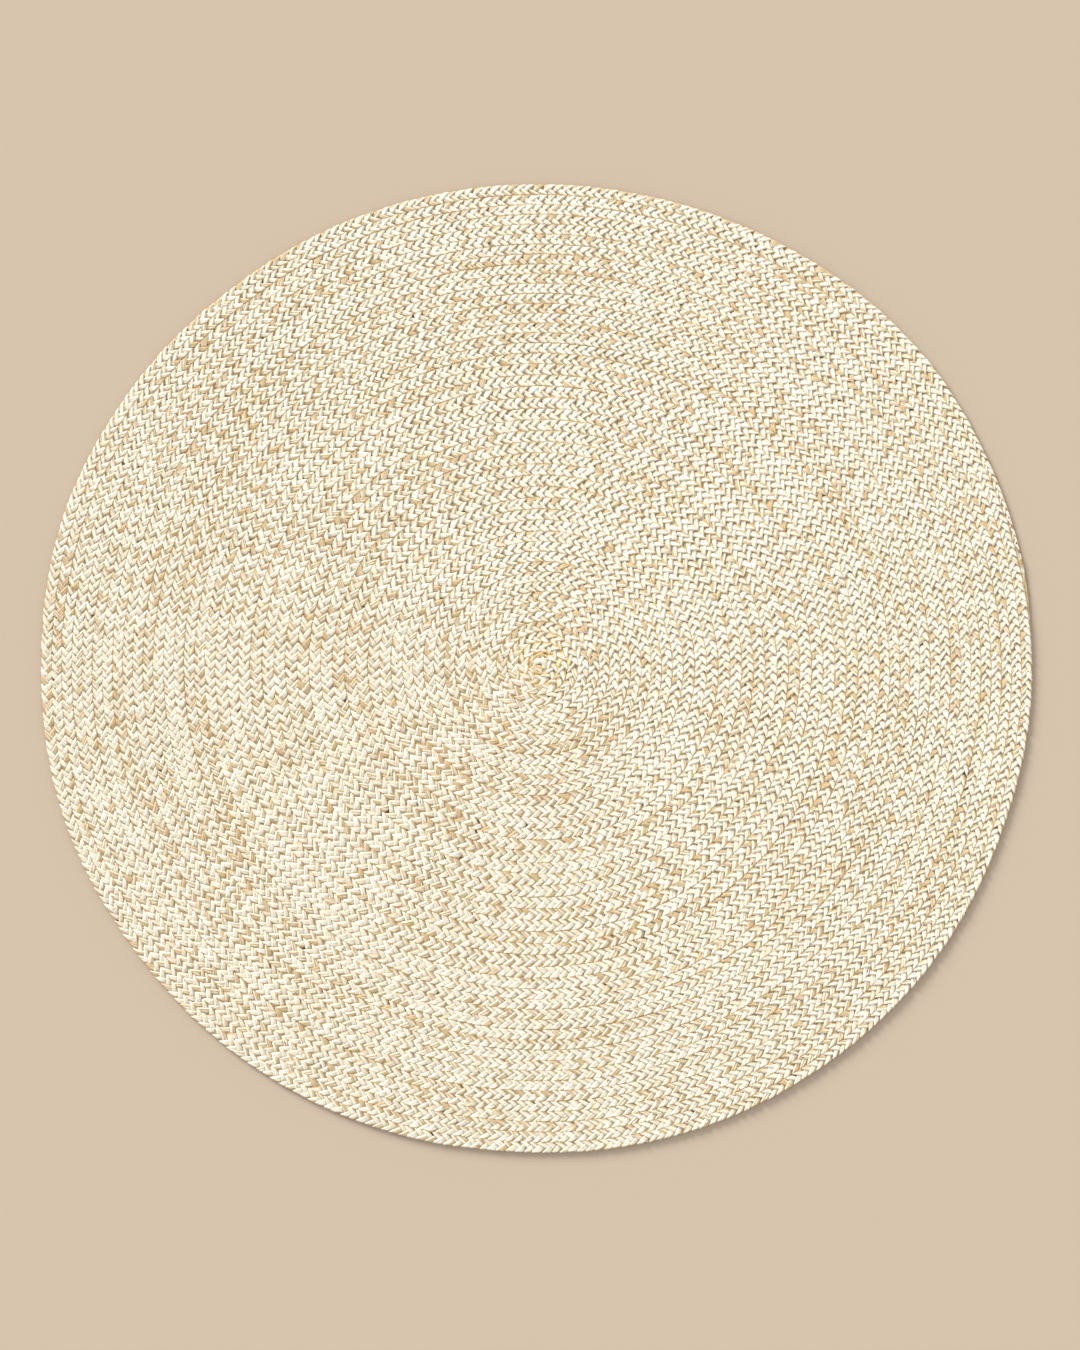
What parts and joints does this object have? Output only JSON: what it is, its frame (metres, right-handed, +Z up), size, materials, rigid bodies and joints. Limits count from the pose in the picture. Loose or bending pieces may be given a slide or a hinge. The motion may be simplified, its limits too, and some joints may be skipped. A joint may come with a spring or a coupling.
{
  "type": "round braided wool rug",
  "caption": "Flat round rug: one three-strand plait of ivory and tan yarn, wound into a spiral and sewn edge to edge, with a tapered tail at the rim.",
  "frame": {"origin": "on the floor under the middle of the rug's outline", "axes": "+Z up, +X along the rug's slightly longer width, towards the side where the plait's tail ends"},
  "size_m": [1.5126, 1.4788, 0.009],
  "materials": {
    "plait": "matte ivory wool yarn with natural tan yarn, plaited"
  },
  "bodies": {
    "root": {"rug": "plait"}
  },
  "joints": []
}
